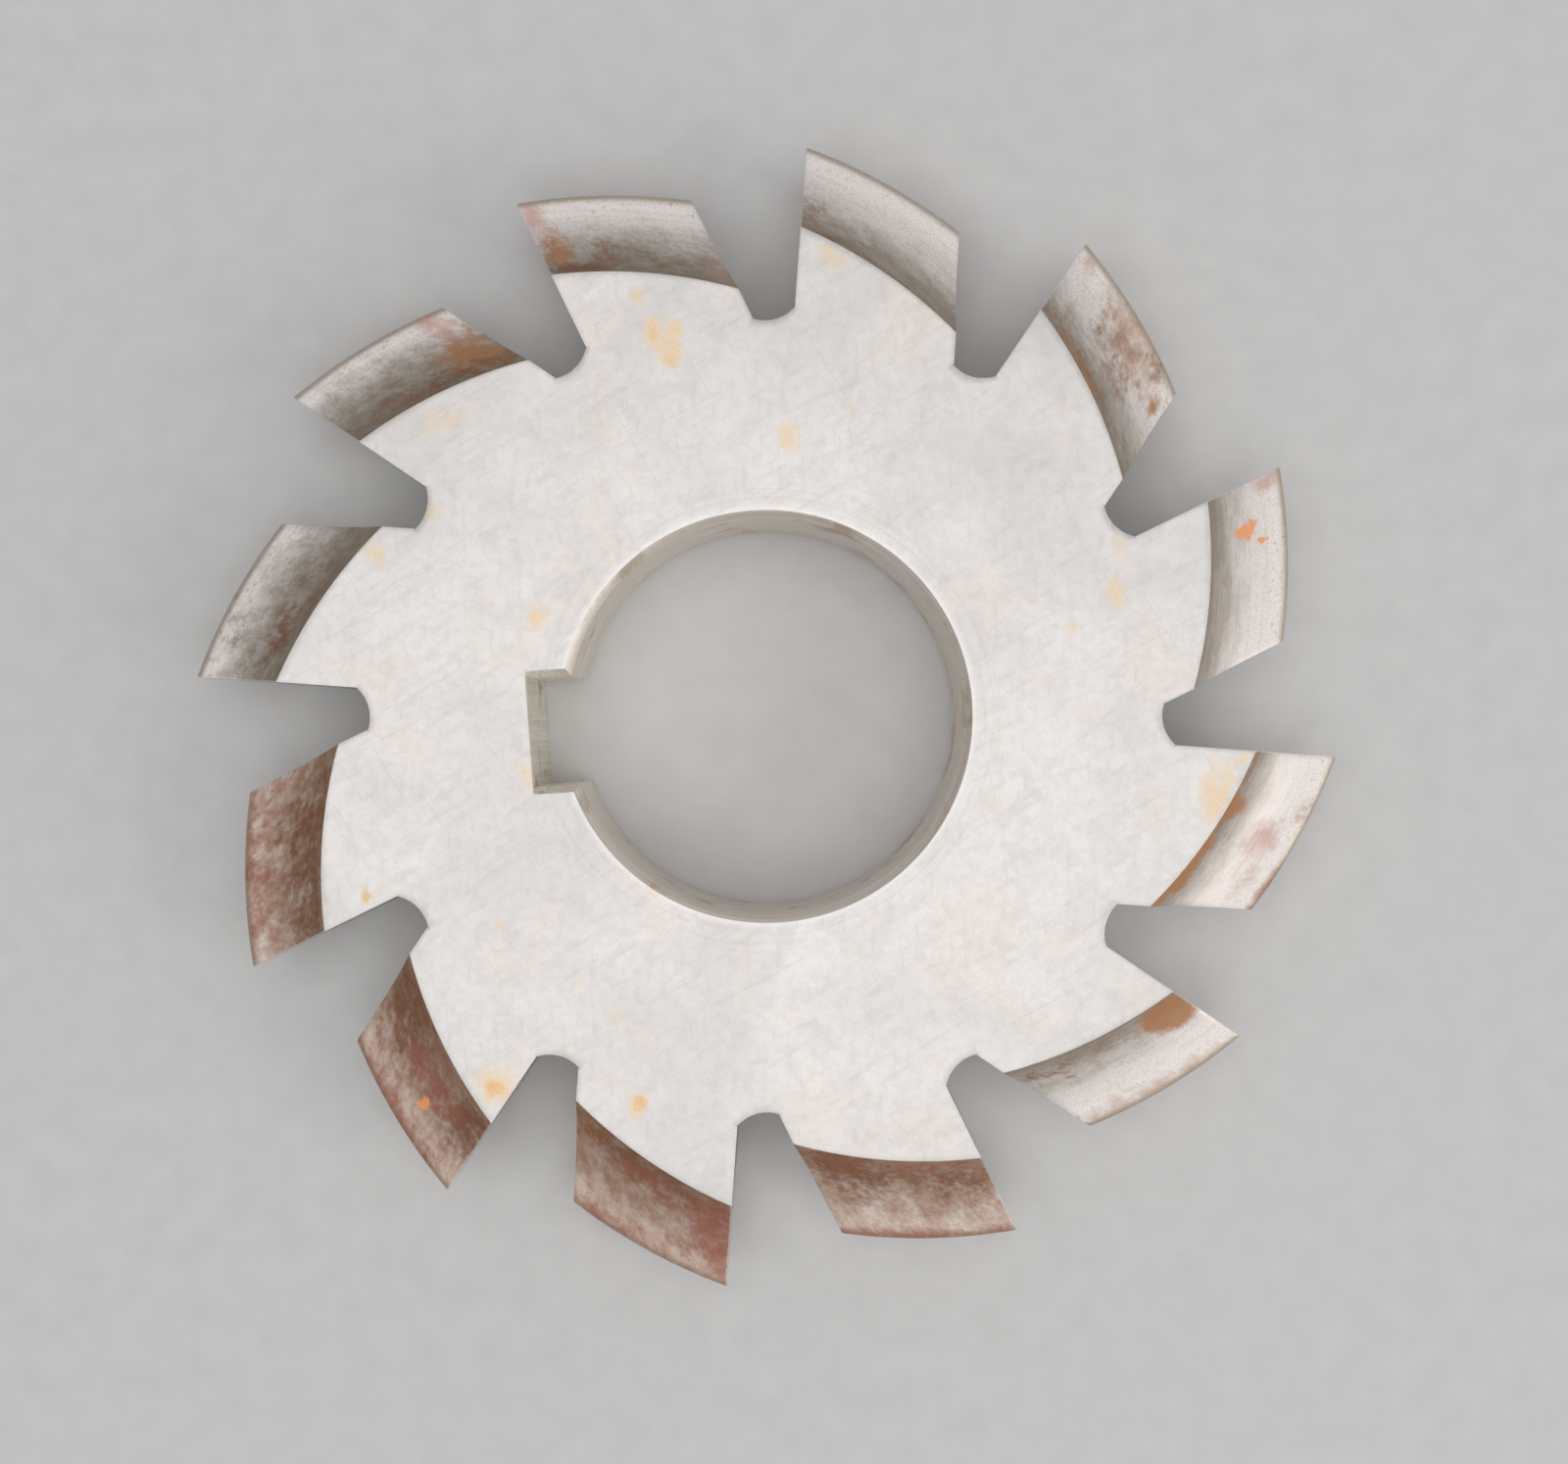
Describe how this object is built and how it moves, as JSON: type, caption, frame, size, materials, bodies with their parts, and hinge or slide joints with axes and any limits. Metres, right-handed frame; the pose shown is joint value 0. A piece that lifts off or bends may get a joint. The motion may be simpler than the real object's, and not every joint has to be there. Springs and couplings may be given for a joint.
{
  "type": "involute gear milling cutter",
  "caption": "Disc-type gear milling cutter: keyed plain bore, two ground side faces and form-relieved teeth with hollow flanks and a narrow tip land.",
  "frame": {"origin": "on the bore axis, half way between the two side faces", "axes": "+Z along the bore axis; the keyway is on the -X side; the part is the same above and below the XY plane"},
  "size_m": [0.0644, 0.0644, 0.008],
  "materials": {
    "ground_steel": "flat-ground high-speed steel, light crossed scratches and a few pale rust spots",
    "form_steel": "relief-turned high-speed steel, satin, with brown rust on the flanks and a ground side face"
  },
  "bodies": {
    "root": {"hub": "ground_steel", "tooth_01": "form_steel", "tooth_02": "form_steel", "tooth_03": "form_steel", "tooth_04": "form_steel", "tooth_05": "form_steel", "tooth_06": "form_steel", "tooth_07": "form_steel", "tooth_08": "form_steel", "tooth_09": "form_steel", "tooth_10": "form_steel", "tooth_11": "form_steel", "tooth_12": "form_steel"}
  },
  "joints": []
}
